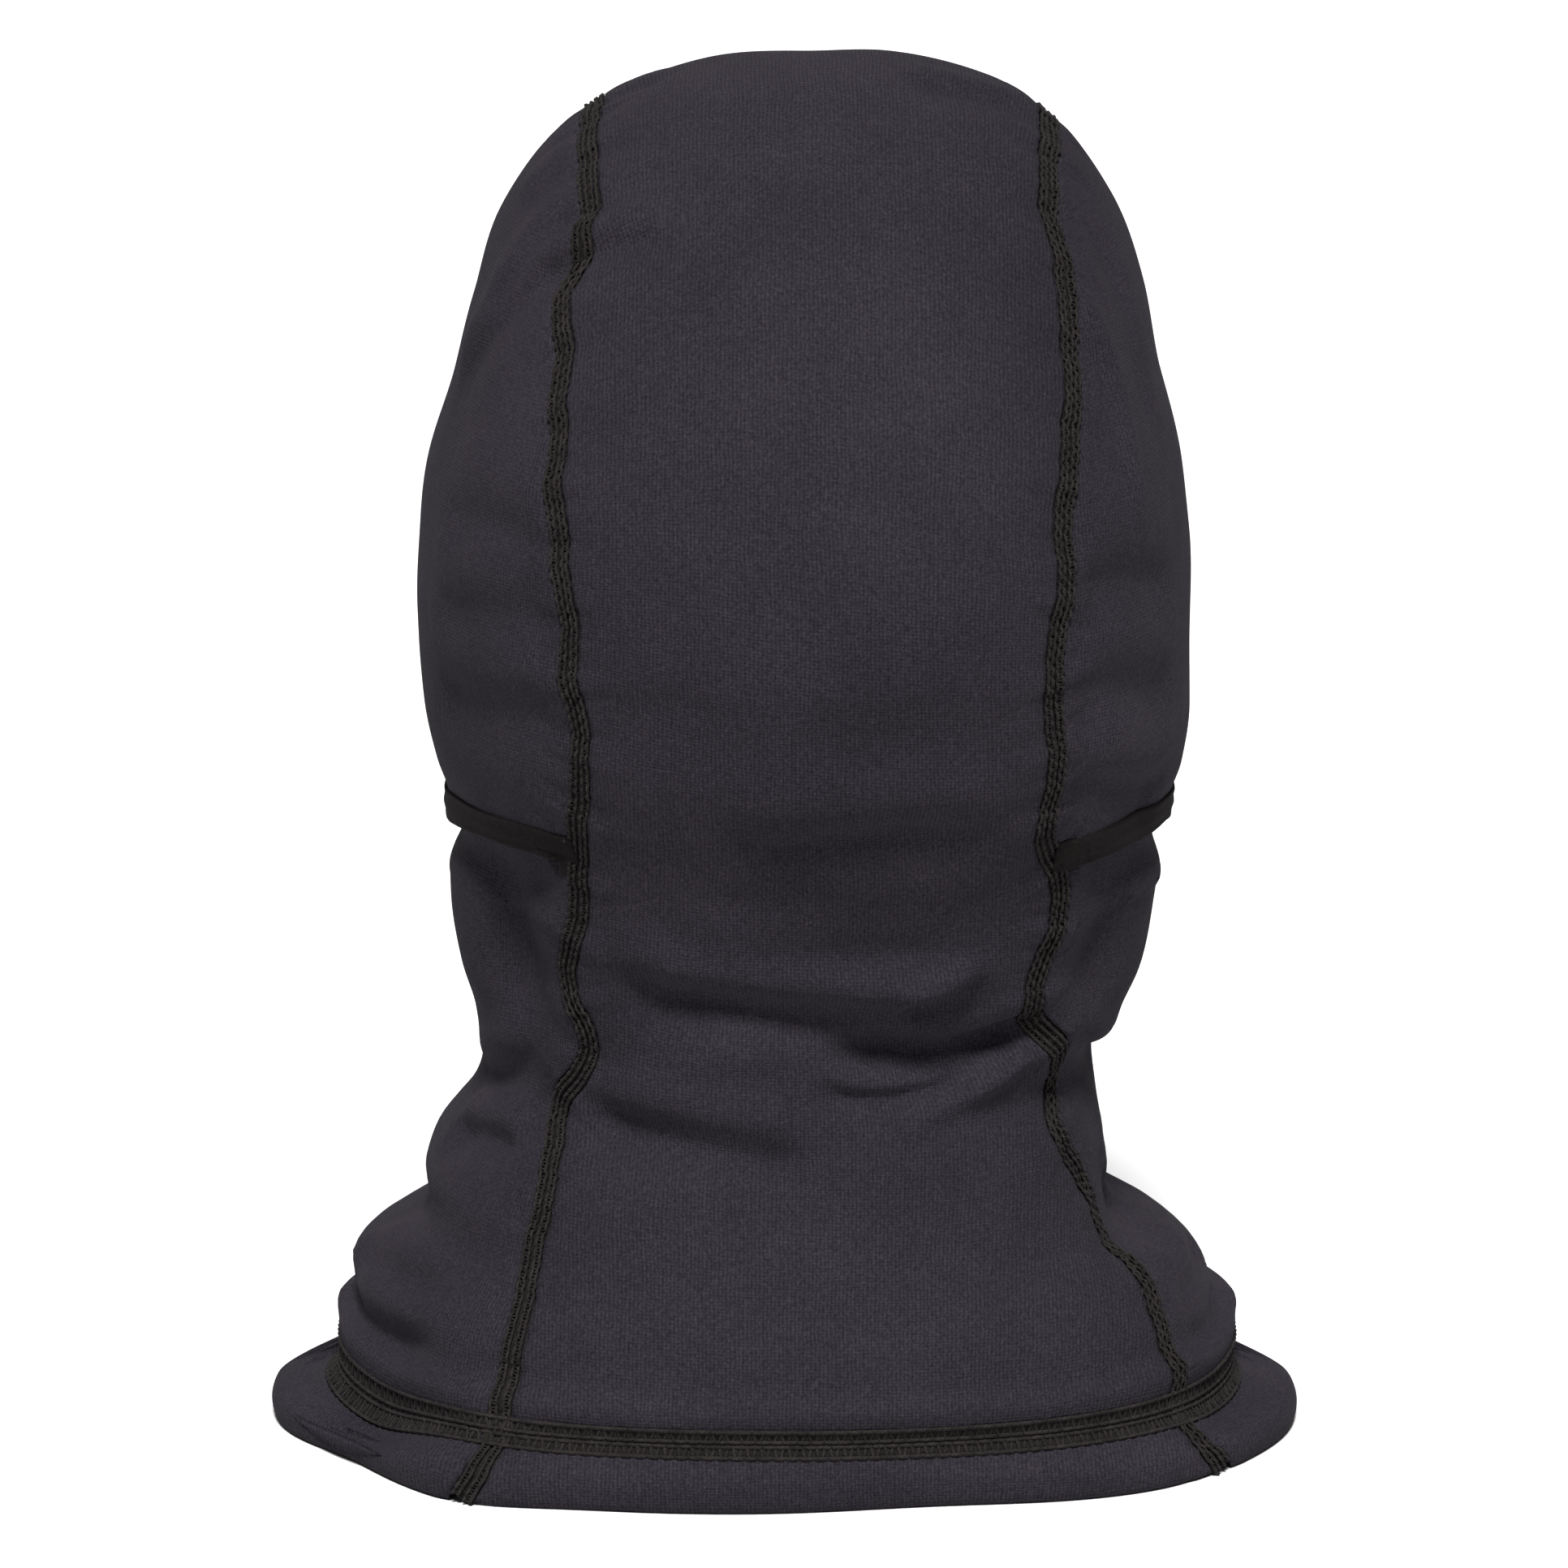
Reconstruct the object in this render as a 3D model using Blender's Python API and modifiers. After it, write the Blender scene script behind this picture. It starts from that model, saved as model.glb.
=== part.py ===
"""Hinged knit balaclava: a hood, a neck wrap and a face mask that pulls down below the chin.

Metres, +Z up. The hem stands on z = 0, the wearer faces -Y, and the wearer's left is +X.
The outer skin is a stack of rings: level rings up to the widest part of the head, then cones
that open from a centre inside the head. Every panel is laid on that skin between its own seams.
"""

import math

import bmesh
import bpy
import numpy as np

# Driving dimensions, in metres ---------------------------------------------------------------
FABRIC = 0.0012            # stretch fleece, one layer
SEAM_WIDTH = 0.0060        # flatlock seam
SEAM_PROUD = 0.0004        # how far its threads stand above the fabric
BINDING_WIDTH = 0.0074     # folded edge tape
BINDING_THICK = 0.0020
HEM_LAYER = 0.0030         # inner skin of the turned hem, in from the outer skin
STITCH_LOW, STITCH_HIGH = 0.0125, 0.0191   # coverstitch band, at the top of the turned-up hem
STITCH_LIFT = 0.0013
STITCH_THICK = 0.0005
GAP = 0.0006               # clearance between neighbouring pieces
HEAD_CENTRE = 0.190        # level of the widest part of the head
JUNCTION = 0.149           # level where the hood, the wrap and a back seam meet
MASK_AXIS = (0.0, 0.072, 0.150)
FOOTPRINT_MIDDLE = (0.0035, -0.0042, 0.0)  # moved to the origin, so the skin's axis is off it

# Ring sizes in millimetres: level, left, right, back, front, squareness
LOWER = (
    (0, 122, 115, 83, 96, 2.45), (7, 121.5, 114, 83, 95, 2.45), (13, 112, 105, 82, 92, 2.45),
    (25, 103.5, 97.5, 80, 86, 2.45), (36, 100.5, 92.5, 78, 81, 2.4), (47, 92, 82, 75.5, 75, 2.35),
    (56, 87, 75.5, 73.5, 71, 2.3), (66, 82, 71, 71, 69, 2.25), (75, 77, 69, 69, 66, 2.2),
    (85, 72.5, 67.5, 67, 68, 2.1), (96, 74, 73.5, 67, 77, 2.1), (108, 77.5, 78.5, 69, 90, 2.1),
    (122, 79.5, 81, 73, 99, 2.1), (138, 80, 83, 79, 104, 2.1), (147, 80, 84, 84, 107, 2.1),
    (156, 82.5, 87, 89, 109, 2.1), (168, 85, 88.5, 94, 112, 2.1), (179, 86, 88.5, 97, 110, 2.1),
    (190, 86.5, 88.5, 100, 106, 2.1),
)
# The same above the head's centre, by elevation in degrees
UPPER = (
    (11, 87.5, 90, 103, 104, 2.1), (22, 90, 93, 106, 105, 2.1), (33, 93.5, 97, 109, 108, 2.1),
    (44, 102, 107, 112, 112, 2.05), (53, 112, 116, 115, 115, 2.0), (62, 119.5, 123.5, 118, 118, 2.0),
    (70, 123, 126.5, 121, 121, 2.0), (80, 125, 126.5, 124, 123.5, 2.0), (90, 125, 125, 125, 125, 2.0),
)
# The wrap and the mask lie on the face inside the hood from here up: level, left, right, back, front
INSIDE = (
    (128, 80, 82.5, 75, 101), (138, 76.8, 80, 75.5, 101.5), (150, 76.5, 80, 80, 105),
    (160, 76.5, 80, 82, 107), (168, 76.5, 80, 83, 110), (179, 75, 78.5, 84, 109), (190, 74, 77, 84, 105),
)

# Back seams in millimetres: y and z of the path from hem to brow, and how far left and right it is
SEAMS = (
    (74, 0, 75, 95), (70, 30, 64, 84), (70, 60, 58, 68), (68, 80, 53, 59), (67, 100, 47, 57),
    (72, 120, 51, 53), (85, 150, 48, 56), (98, 190, 50, 56), (100, 230, 52, 57), (85, 270, 52, 59),
    (55, 298, 48, 56), (15, 312, 46, 56), (-30, 309, 46, 53), (-68, 288, 46, 49),
    (-92, 256, 44, 45), (-101, 236, 44, 44),
)
# Free edge of the hood in millimetres, from a back seam below the ear to the middle of the brow
HOOD_EDGE = (
    (54, 78, 149), (74, 47, 146), (81, 12, 143.5), (80, -20, 145), (77, -42, 153), (72, -60, 171),
    (68, -70, 192), (60, -80, 211), (47, -92, 225), (28, -101, 235), (0, -105, 239),
)
# Top edge of the mask and the line where it meets the neck wrap, from the rear to the middle
MASK_TOP = (
    (60, 62, 160), (73, 32, 163), (77, -4, 167), (70, -42, 172), (52, -77, 177), (26, -100, 183),
    (0, -108, 186),
)
MASK_FOOT = (
    (61, 62, 151), (73, 32, 151), (77, 2, 149), (75, -26, 142), (65, -52, 129), (45, -76, 115),
    (22, -92, 107), (0, -96, 105),
)


def smooth_table(rows):
    """A smooth function through rows of (key, values...), level beyond both ends."""
    table = np.array(rows, float)
    keys, values = table[:, 0], table[:, 1:]
    slopes = np.zeros_like(values)
    steps = np.diff(values, axis=0) / np.diff(keys)[:, None]
    slopes[1:-1] = np.where(steps[1:] * steps[:-1] > 0,
                            2 * steps[1:] * steps[:-1] / (steps[1:] + steps[:-1] + 1e-12), 0.0)

    def at(key):
        key = min(max(key, keys[0]), keys[-1])
        i = min(int(np.searchsorted(keys, key, side="right")) - 1, len(keys) - 2)
        span = keys[i + 1] - keys[i]
        t = (key - keys[i]) / span
        return ((1 + 2 * t) * (1 - t) ** 2 * values[i] + t * (1 - t) ** 2 * span * slopes[i]
                + t * t * (3 - 2 * t) * values[i + 1] + t * t * (t - 1) * span * slopes[i + 1])

    return at


CENTRE_MM = HEAD_CENTRE * 1000
OUTER = smooth_table(LOWER + tuple((CENTRE_MM + row[0],) + row[1:] for row in UPPER))
INNER = smooth_table(INSIDE)


def ring_point(turn, station, inside):
    """Point of one ring of the skin, measured from the middle of the ring."""
    left, right, back, front, square = OUTER(station)
    if inside and station > INSIDE[0][0]:
        left, right, back, front = INNER(station)
    across, along = math.sin(turn), math.cos(turn)
    side = left if across > 0 else right
    end = back if along > 0 else front
    if along < 0:   # the front is an ellipse, pointed at the sides near the hem
        square = min(max(1.6 + (station - 5) / 62.5, 1.6), 2.0)
    radius = (abs(across / side) ** square + abs(along / end) ** square) ** (-1 / square) / 1000
    rise = math.radians(max(station - CENTRE_MM, 0.0))
    return radius * np.array((math.cos(rise) * across, math.cos(rise) * along, math.sin(rise)))


def skin(turn, station, inside=False, lift=0.0):
    """Point of the skin at an angle from the back towards the left, at a station.

    A station up to the head's centre is a level in mm; above it each mm is a degree of elevation.
    The lift is square to the ring.
    """
    point = ring_point(turn, station, inside)
    if lift:
        along = ring_point(turn + 0.01, station, inside) - ring_point(turn - 0.01, station, inside)
        along /= np.linalg.norm(along)
        outward = point - along * point.dot(along)
        point = point + outward * lift / np.linalg.norm(outward)
    return point + (0, 0, min(station, CENTRE_MM) / 1000)


def address(point):
    """Angle and station of a point, seen from the middle of its ring."""
    x, y, z = point
    if z <= HEAD_CENTRE:
        return math.atan2(x, y), z * 1000
    return math.atan2(x, y), CENTRE_MM + math.degrees(math.atan2(z - HEAD_CENTRE, math.hypot(x, y)))


def laid(point, inside=False, lift=0.0):
    """A nearby point moved onto the skin."""
    return skin(*address(point), inside=inside, lift=lift)


def laid_at_x(point):
    """A nearby point moved onto the skin without changing its x."""
    guess = np.array(point, float)
    for _ in range(8):
        found = laid(guess)
        guess = np.array((point[0], found[1], found[2]))
    return laid(guess)


def spline(knots, count):
    """Evenly spaced points on a smooth curve through the knots."""
    knots = np.array(knots, float)
    padded = np.vstack((2 * knots[0] - knots[1], knots, 2 * knots[-1] - knots[-2]))
    fine = []
    for i in range(len(knots) - 1):
        a, b, c, d = padded[i:i + 4]
        for t in np.linspace(0, 1, 24, endpoint=False):
            fine.append(0.5 * (2 * b + (c - a) * t + (2 * a - 5 * b + 4 * c - d) * t ** 2
                               + (3 * b - a - 3 * c + d) * t ** 3))
    fine.append(knots[-1])
    fine = np.array(fine)
    reach = np.concatenate(([0], np.cumsum(np.linalg.norm(np.diff(fine, axis=0), axis=1))))
    wanted = np.linspace(0, reach[-1], count)
    return np.column_stack([np.interp(wanted, reach, fine[:, axis]) for axis in range(fine.shape[1])])


def beside(line, distance):
    """The line moved sideways on the skin: to the left of its direction when distance is positive."""
    out = []
    for point, ahead in zip(line, np.gradient(line, axis=0)):
        turn, station = address(point)
        aside = np.cross(skin(turn, station, lift=0.001) - skin(turn, station), ahead)
        out.append(laid(point + aside * distance / np.linalg.norm(aside)))
    return np.array(out)


def patch(first, last, start, end):
    """Grid of guess points between two long lines and the two short lines that close them."""
    across = np.linspace(0, 1, len(start))[:, None]
    grid = []
    for i, (a, b) in enumerate(zip(first, last)):
        t = i / (len(first) - 1)
        row = a * (1 - across) + b * across
        row = row + (1 - t) * (start - (first[0] * (1 - across) + last[0] * across))
        row = row + t * (end - (first[-1] * (1 - across) + last[-1] * across))
        grid.append(row)
    return np.array(grid)


def cloth(name, grid, colour, thickness, roughness=0.95, closed=False):
    """A sheet over a grid of points, its outer side up, thickened inwards."""
    rows, columns = grid.shape[:2]
    mesh = bpy.data.meshes.new(name)
    shape = bmesh.new()
    grid = grid - FOOTPRINT_MIDDLE
    verts = [[shape.verts.new(grid[r, c]) for c in range(columns)] for r in range(rows)]
    for r in range(rows - 1):
        for c in range(columns if closed else columns - 1):
            after = (c + 1) % columns
            shape.faces.new((verts[r][c], verts[r][after], verts[r + 1][after], verts[r + 1][c]))
    shape.normal_update()
    middle = shape.faces[:][len(shape.faces) // 2]
    outwards = middle.calc_center_median().copy()
    outwards.z -= HEAD_CENTRE if outwards.z > HEAD_CENTRE else outwards.z
    if middle.normal.dot(outwards) < 0:
        bmesh.ops.reverse_faces(shape, faces=shape.faces[:])
    shape.to_mesh(mesh)
    shape.free()
    piece = bpy.data.objects.new(name, mesh)
    garment.objects.link(piece)
    wall = piece.modifiers.new("thickness", "SOLIDIFY")
    wall.thickness = thickness
    wall.offset = -1.0
    wall.use_even_offset = True
    wall.use_quality_normals = True
    mesh.shade_smooth()
    mesh.set_sharp_from_angle(angle=math.radians(40))
    material = bpy.data.materials.new(name)
    material.use_nodes = True
    shader = material.node_tree.nodes["Principled BSDF"]
    shader.inputs["Base Color"].default_value = (*colour, 1.0)
    shader.inputs["Roughness"].default_value = roughness
    shader.inputs["Metallic"].default_value = 0.0
    mesh.materials.append(material)
    return piece


for existing in list(bpy.data.objects):
    bpy.data.objects.remove(existing, do_unlink=True)
garment = bpy.data.collections.new("balaclava")
bpy.context.scene.collection.children.link(garment)

KNIT = (0.035, 0.031, 0.038)
THREAD = (0.021, 0.020, 0.021)
TAPE = (0.011, 0.009, 0.009)

# Stations of the back seams: rows on the hem, then even steps up the neck and over the head ----
SEAM_STEPS = 38
seam_rows = spline(np.array(SEAMS) / 1000, SEAM_STEPS)
hem_levels = (0.0, 0.006, STITCH_LOW, STITCH_HIGH)
above_hem = seam_rows[seam_rows[:, 1] > STITCH_HIGH + 0.008]
first_above = above_hem[0]
bottom = seam_rows[0]
hem_rows = []
for hem_level in hem_levels:
    share = hem_level / first_above[1]
    row = bottom * (1 - share) + first_above * share
    row[1] = hem_level
    hem_rows.append(row)
seam_rows = np.vstack((hem_rows, above_hem))


def seam_line(side):
    """One back seam from hem to brow; side is +1 for the wearer's left and -1 for the right."""
    column = 2 if side > 0 else 3
    return np.array([laid_at_x((side * row[column], row[0], row[1])) for row in seam_rows])


def nearest(line, point):
    """Index of the point of a line that lies nearest to a point."""
    return int(np.argmin(np.linalg.norm(line - point, axis=1)))


def seam_at(line, level):
    """Point of a line along a back seam, at a level on the neck or the lower head."""
    rising = line[:18]
    return laid([np.interp(level, rising[:, 2], rising[:, axis]) for axis in range(3)])


def seam_side(line, distance):
    """A line beside a back seam, its rows level with those of the seam up to the junction."""
    below = line[0] + (line[0] - line[1]) * 2
    moved = beside(np.vstack((below, line)), distance)
    return np.array([seam_at(moved, point[2]) if point[2] < JUNCTION else aside
                     for point, aside in zip(line, moved[1:])])


seam_left, seam_right = seam_line(1), seam_line(-1)
panel_side = SEAM_WIDTH / 2 + GAP / 2
thread_side = SEAM_WIDTH / 2 - GAP / 2

# Free edge of the hood, from the left seam forward, over the brow and back to the right seam -----
beside_left, beside_right = seam_side(seam_left, panel_side), seam_side(seam_right, -panel_side)
edge_left = np.array(HOOD_EDGE) / 1000
edge_right = (edge_left * (-1, 1, 1))[::-1][1:]
edge_left[0], edge_right[-1] = seam_at(beside_left, JUNCTION), seam_at(beside_right, JUNCTION)
EDGE_STEPS = 49
hood_edge = np.array([laid(point) for point in spline(np.vstack((edge_left, edge_right)), EDGE_STEPS)])
edge_inner = spline(beside(hood_edge, -BINDING_WIDTH / 2 - GAP), 481)
brow_line = edge_inner[nearest(edge_inner, (0.065, -0.08, 0.21)):nearest(edge_inner, (-0.065, -0.08, 0.21))]


def brow_at(x):
    """Point where the hood's fabric meets the brow binding, at one x."""
    return np.array([np.interp(-x, -brow_line[:, 0], brow_line[:, axis]) for axis in range(3)])


half_tape = BINDING_WIDTH / 2
binding = np.stack([beside(hood_edge, across) for across in (half_tape, 0.0, -half_tape)], axis=1)
for end, line in ((0, beside_left), (-1, beside_right)):
    binding[end] = [seam_at(line, JUNCTION + rise) for rise in (-half_tape, 0.0, half_tape)]
cloth("hood_edge_binding", binding, TAPE, BINDING_THICK, 0.9)

# Back seams and the centre panel between them, all ending on the brow binding --------------------
panel_edges = {}
for name, line in (("left", seam_left), ("right", seam_right)):
    outward = 1 if name == "left" else -1
    threads = []
    for distance in (-thread_side, thread_side):
        side_line = seam_side(line, distance)
        side_line[-1] = brow_at(side_line[-1][0])
        threads.append(side_line)
    strip = np.array([[laid(point, lift=SEAM_PROUD) for point in pair] for pair in zip(*threads)])
    strip[0] += (strip[0].mean(axis=0) - strip[0]) * 0.15 + (0, 0, GAP)   # ends just above the fold
    cloth("back_seam_" + name, strip, THREAD, FABRIC + SEAM_PROUD, 0.9)
    panel_edges["centre", name] = seam_side(line, -outward * panel_side)
    panel_edges["side", name] = seam_side(line, outward * panel_side)

CENTRE_COLUMNS = 8
first, last = panel_edges["centre", "left"], panel_edges["centre", "right"]
brow = np.array([brow_at(x) for x in np.linspace(first[-1][0], last[-1][0], CENTRE_COLUMNS)])
first[-1], last[-1] = brow[0], brow[-1]
hem_turns = np.linspace(math.atan2(*first[0][:2]), math.atan2(*last[0][:2]), CENTRE_COLUMNS)
hem_line = np.array([skin(turn, 0.0) for turn in hem_turns])
centre = patch(first, last, hem_line, brow)
centre = np.array([[laid(point) for point in row] for row in centre])


def with_hem(grid, inside=False):
    """The grid with its lowest edge turned in and up by the height of the hem."""
    folded = [[skin(address(point)[0], level * 1000, inside, -HEM_LAYER) for point in grid[row]]
              for row, level in ((3, STITCH_HIGH), (0, 0.0))]
    return np.vstack((np.array(folded), grid))


cloth("centre_back_panel", with_hem(centre), KNIT, FABRIC)

# Sides of the hood, between a back seam and the free edge --------------------------------------
SIDE_COLUMNS = 12
start_row = int(np.searchsorted(seam_left[:14, 2], JUNCTION + BINDING_WIDTH / 2 + 2 * GAP))
for name in ("left", "right"):
    seam_edge = panel_edges["side", name][start_row:]
    free_edge = edge_inner if name == "left" else edge_inner[::-1]
    corner = brow_at(seam_edge[-1][0])
    free_edge = spline(free_edge[:nearest(free_edge, corner) - 1], len(seam_edge))
    seam_edge[-1] = laid(corner * 0.7 + seam_edge[-2] * 0.3)
    start = np.linspace(seam_edge[0], free_edge[0], SIDE_COLUMNS)
    end = np.linspace(seam_edge[-1], free_edge[-1], SIDE_COLUMNS)
    side = patch(seam_edge, free_edge, start, end)
    side = np.array([[laid(point) for point in row] for row in side])
    cloth("hood_side_" + name, side, KNIT, FABRIC)


# Neck wrap, from one back seam round the front to the other -------------------------------------
def line_station(line, turn):
    """Station of a mirrored line at an angle; turn runs from the back, 180 degrees in front."""
    turns = [math.degrees(math.atan2(x, y)) for x, y, _ in line]
    levels = [z for _, _, z in line]
    turn = math.degrees(turn)
    return float(np.interp(min(turn, 360 - turn), turns, levels))


WRAP_COLUMNS = 31
foot_line, top_line = spline(MASK_FOOT, 41), spline(MASK_TOP, 41)
levels = [row[2] for row in seam_left if row[2] < JUNCTION - 0.004] + [JUNCTION - 0.0015]
even = np.linspace(0, 1, WRAP_COLUMNS)
shares = even - 0.07 * np.sin(2 * math.pi * even)   # closer together beside the seams
wrap, wrap_turns = [], []
for level in levels:
    ends = seam_at(panel_edges["side", "left"], level), seam_at(panel_edges["side", "right"], level)
    first_turn, last_turn = math.atan2(*ends[0][:2]), math.atan2(*ends[1][:2]) + 2 * math.pi
    turns = first_turn + (last_turn - first_turn) * shares
    share = max((level - STITCH_HIGH) / (levels[-1] - STITCH_HIGH), 0.0)
    row = []
    for turn in turns:
        rear = min(turn, 2 * math.pi - turn) < math.radians(40)
        top = levels[-1] * 1000 if rear else line_station(foot_line, turn) - GAP * 1000
        row.append(skin(turn, level * 1000 + (top - levels[-1] * 1000) * share, inside=True))
    wrap.append(row)
    wrap_turns.append(turns)
wrap = np.array(wrap)
cloth("neck_wrap", with_hem(wrap), KNIT, FABRIC)

# Coverstitch round the hem, over the wrap, the back seams and the centre panel ------------------
ring = []
for level, turns, centre_row in zip((STITCH_LOW, STITCH_HIGH), wrap_turns[2:4], centre[2:4]):
    back_turns = [address(point)[0] for point in centre_row[::-1]]
    ring.append([skin(turn, level * 1000, lift=STITCH_LIFT) for turn in (*turns, *back_turns)])
cloth("hem_coverstitch", np.array(ring), THREAD, STITCH_THICK, 0.9, closed=True)

# Face mask and the tape on its top edge ---------------------------------------------------------
MASK_ROWS = 7
rear = math.atan2(*MASK_TOP[0][:2])
turns = [turn for turn in wrap_turns[-1] if rear <= turn <= 2 * math.pi - rear]
foot = np.array([line_station(foot_line, turn) for turn in turns])
top = np.array([line_station(top_line, turn) for turn in turns])
tape = BINDING_WIDTH * 1000
mask_panel_top = top - (tape + GAP * 1000) * np.clip((top - foot) / 16, 0, 1)


def between(low, high, count, lift):
    """Rows of skin points from one line of stations to another."""
    return np.array([[skin(turn, a * (1 - t) + b * t, True, lift) for turn, a, b in zip(turns, low, high)]
                     for t in np.linspace(0, 1, count)])


mask_joint = bpy.data.objects.new("mask_joint", None)
mask_joint.location = np.array(MASK_AXIS) - FOOTPRINT_MIDDLE
garment.objects.link(mask_joint)
mask = cloth("mask_panel", between(foot, mask_panel_top, MASK_ROWS, 0.0), KNIT, FABRIC)
mask_tape = cloth("mask_edge_binding", between(mask_panel_top + GAP * 1000, top, 3, 0.0004), TAPE,
                  FABRIC + 0.0004, 0.9)
for piece in (mask, mask_tape):
    piece.parent = mask_joint
    piece.matrix_parent_inverse.translation = -mask_joint.location
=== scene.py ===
"""Looks of the hinged knit balaclava: panels with their folds, seam threads, tapes, hem and light."""
import math

import bmesh
import bpy
import numpy as np
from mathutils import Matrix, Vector


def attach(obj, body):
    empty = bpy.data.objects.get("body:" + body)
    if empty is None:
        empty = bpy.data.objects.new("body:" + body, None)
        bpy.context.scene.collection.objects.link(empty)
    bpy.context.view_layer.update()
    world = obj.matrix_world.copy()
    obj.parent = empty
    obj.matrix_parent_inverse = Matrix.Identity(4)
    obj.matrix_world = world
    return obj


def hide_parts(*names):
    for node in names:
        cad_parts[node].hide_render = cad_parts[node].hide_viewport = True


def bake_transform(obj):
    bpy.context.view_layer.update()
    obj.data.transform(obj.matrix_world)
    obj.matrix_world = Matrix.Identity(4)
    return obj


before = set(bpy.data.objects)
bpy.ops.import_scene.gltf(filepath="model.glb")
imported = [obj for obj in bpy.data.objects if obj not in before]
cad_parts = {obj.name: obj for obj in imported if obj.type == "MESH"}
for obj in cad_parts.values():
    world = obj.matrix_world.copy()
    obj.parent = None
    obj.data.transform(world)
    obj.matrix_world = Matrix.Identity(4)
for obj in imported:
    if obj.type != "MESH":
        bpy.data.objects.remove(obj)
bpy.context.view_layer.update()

# The skin that every panel lies on, as the CAD has it. Its axis is off the footprint's middle -----
FOOTPRINT_MIDDLE = np.array((0.0035, -0.0042, 0.0))
HEAD_CENTRE = 0.190        # level of the widest part of the head
FABRIC = 0.0012            # stretch fleece, one layer
SEAM_WIDTH = 0.0060        # flatlock seam
BINDING_WIDTH = 0.0074     # folded edge tape
STITCH_LOW, STITCH_HIGH = 0.0125, 0.0191   # coverstitch band
HEM_LAYER = 0.0034         # depth of the turned-in layer under the skin
JUNCTION = 0.149           # level where the hood, the wrap and a back seam meet
MEAN_RADIUS = 0.088        # turns an angle round the head into a width of flat cloth

# Ring sizes in millimetres: level, left, right, back, front, squareness
LOWER = (
    (0, 122, 115, 83, 96, 2.45), (7, 121.5, 114, 83, 95, 2.45), (13, 112, 105, 82, 92, 2.45),
    (25, 103.5, 97.5, 80, 86, 2.45), (36, 100.5, 92.5, 78, 81, 2.4), (47, 92, 82, 75.5, 75, 2.35),
    (56, 87, 75.5, 73.5, 71, 2.3), (66, 82, 71, 71, 69, 2.25), (75, 77, 69, 69, 66, 2.2),
    (85, 72.5, 67.5, 67, 68, 2.1), (96, 74, 73.5, 67, 77, 2.1), (108, 77.5, 78.5, 69, 90, 2.1),
    (122, 79.5, 81, 73, 99, 2.1), (138, 80, 83, 79, 104, 2.1), (147, 80, 84, 84, 107, 2.1),
    (156, 82.5, 87, 89, 109, 2.1), (168, 85, 88.5, 94, 112, 2.1), (179, 86, 88.5, 97, 110, 2.1),
    (190, 86.5, 88.5, 100, 106, 2.1),
)
# The same above the head's centre, by elevation in degrees
UPPER = (
    (11, 87.5, 90, 103, 104, 2.1), (22, 90, 93, 106, 105, 2.1), (33, 93.5, 97, 109, 108, 2.1),
    (44, 102, 107, 112, 112, 2.05), (53, 112, 116, 115, 115, 2.0), (62, 119.5, 123.5, 118, 118, 2.0),
    (70, 123, 126.5, 121, 121, 2.0), (80, 125, 126.5, 124, 123.5, 2.0), (90, 125, 125, 125, 125, 2.0),
)
# The wrap and the mask inside the hood: level, left, right, back, front
INSIDE = (
    (128, 80, 82.5, 75, 101), (138, 76.8, 80, 75.5, 101.5), (150, 76.5, 80, 80, 105),
    (160, 76.5, 80, 82, 107), (168, 76.5, 80, 83, 110), (179, 75, 78.5, 84, 109), (190, 74, 77, 84, 105),
)

# Seams and edges as x, y, z in millimetres about the skin's axis -----------------------------------
# The back seams run from hem to brow, the hood's edge from a back seam to the brow, and the mask's top
# edge from the rear to the middle
SEAM_LEFT = (
    (75, 71, 0), (72, 73, 6), (67, 71, 14), (65, 68, 27), (62, 63, 44), (60, 59, 54), (57, 55, 65),
    (55, 49, 78), (55, 45, 85), (51, 49, 90), (47, 53, 97), (47, 55, 104), (51, 54, 110),
    (53, 55, 117), (51, 58, 124), (49, 62, 132), (49, 69, 149), (48, 80, 169), (48, 83, 183),
    (51, 83, 191), (50, 84, 205), (53, 81, 216), (52, 80, 224), (54, 76, 232), (52, 73, 243),
    (53, 68, 249), (51, 65, 257), (52, 58, 264), (52, 51, 273), (48, 51, 279), (46, 46, 285),
    (47, 31, 295), (47, 14, 301), (46, -4, 304), (46, -24, 300), (46, -44, 290), (46, -62, 272),
    (44, -76, 251), (44, -87, 229),
)
SEAM_RIGHT = (
    (-97, 54, 0), (-95, 55, 4), (-89, 53, 12), (-86, 49, 20), (-83, 47, 30), (-80, 43, 39),
    (-73, 35, 51), (-65, 34, 64), (-58, 41, 76), (-56, 40, 82), (-58, 37, 88), (-59, 41, 95),
    (-55, 48, 101), (-52, 53, 106), (-52, 55, 113), (-55, 55, 123), (-58, 55, 131), (-58, 59, 139),
    (-56, 63, 145), (-53, 72, 155), (-56, 73, 162), (-56, 76, 174), (-55, 80, 187), (-56, 81, 200),
    (-58, 78, 207), (-58, 78, 214), (-57, 77, 225), (-58, 73, 234), (-59, 66, 245), (-59, 58, 259),
    (-58, 52, 268), (-58, 45, 276), (-55, 41, 284), (-55, 27, 294), (-56, 9, 299), (-55, -8, 301),
    (-53, -26, 297), (-50, -46, 287), (-48, -64, 267), (-46, -78, 245), (-44, -87, 229),
)
HOOD_EDGE_LEFT = (
    (62, 60, 149.5), (73, 43, 148.5), (79, 25, 147), (81, 8, 145), (80, -20, 145), (77, -42, 153),
    (72, -60, 171), (68, -70, 192), (60, -80, 211), (47, -92, 225), (28, -101, 235), (0, -105, 239),
)
HOOD_EDGE_RIGHT = (
    (-69, 53, 146.5), (-79, 35, 147), (-84, 20, 147), (-85, 5, 145), (-84, -20, 145), (-80, -42, 153),
    (-75, -60, 171), (-70, -70, 192), (-61, -80, 211), (-47, -92, 225), (-28, -101, 235),
)
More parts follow.
